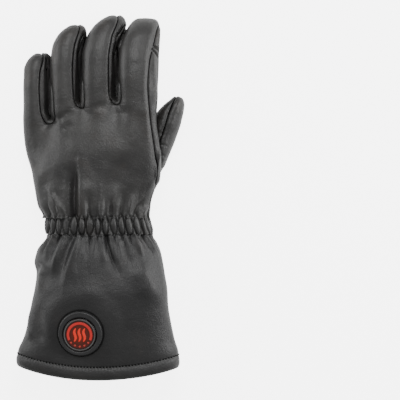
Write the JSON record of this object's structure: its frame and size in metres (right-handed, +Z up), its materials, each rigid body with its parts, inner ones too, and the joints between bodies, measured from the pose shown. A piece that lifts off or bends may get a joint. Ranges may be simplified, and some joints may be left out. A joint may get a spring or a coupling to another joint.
{
  "type": "heated glove",
  "caption": "Left heated gauntlet glove in padded leather, lying palm down: fingers with fourchettes, gathered wrist, wide cuff with a padded hem, and a round push switch with lit marks",
  "frame": {"origin": "middle of the glove's footprint on the surface it lies on", "axes": "+Y towards the fingertips, +X towards the thumb, +Z up out of the back of the hand"},
  "size_m": [0.1474, 0.3216, 0.0598],
  "materials": {
    "hand_leather": "soft satin, fine grain",
    "cuff_leather": "soft satin, fine grain",
    "hem_leather": "soft satin, fine grain",
    "button_rubber": "matt",
    "cap_lens": "gloss",
    "rim_plastic": "satin",
    "glow_marks": "lit"
  },
  "bodies": {
    "glove": {"hand_back": "hand_leather", "palm": "hand_leather", "fourchette_little_ring": "hand_leather", "fourchette_ring_middle": "hand_leather", "fourchette_middle_index": "hand_leather", "thumb_inner": "hand_leather", "thumb_outer": "hand_leather", "wrist": "hand_leather", "cuff": "cuff_leather", "hem": "hem_leather", "button_cup": "button_rubber"},
    "cap": {"button_cap": "cap_lens", "cap_rim": "rim_plastic", "glow_ring": "glow_marks", "heat_wave_left": "glow_marks", "heat_wave_middle": "glow_marks", "heat_wave_right": "glow_marks", "dot_1": "glow_marks", "dot_2": "glow_marks", "dot_3": "glow_marks", "dot_4": "glow_marks", "dot_5": "glow_marks"}
  },
  "joints": [
    {"name": "button_press", "type": "slide", "parent": "glove", "child": "cap", "axis": [0.1045, 0.1212, -0.9871], "range_m": [0, 0.001], "stiffness_N_per_m": 1000}
  ]
}
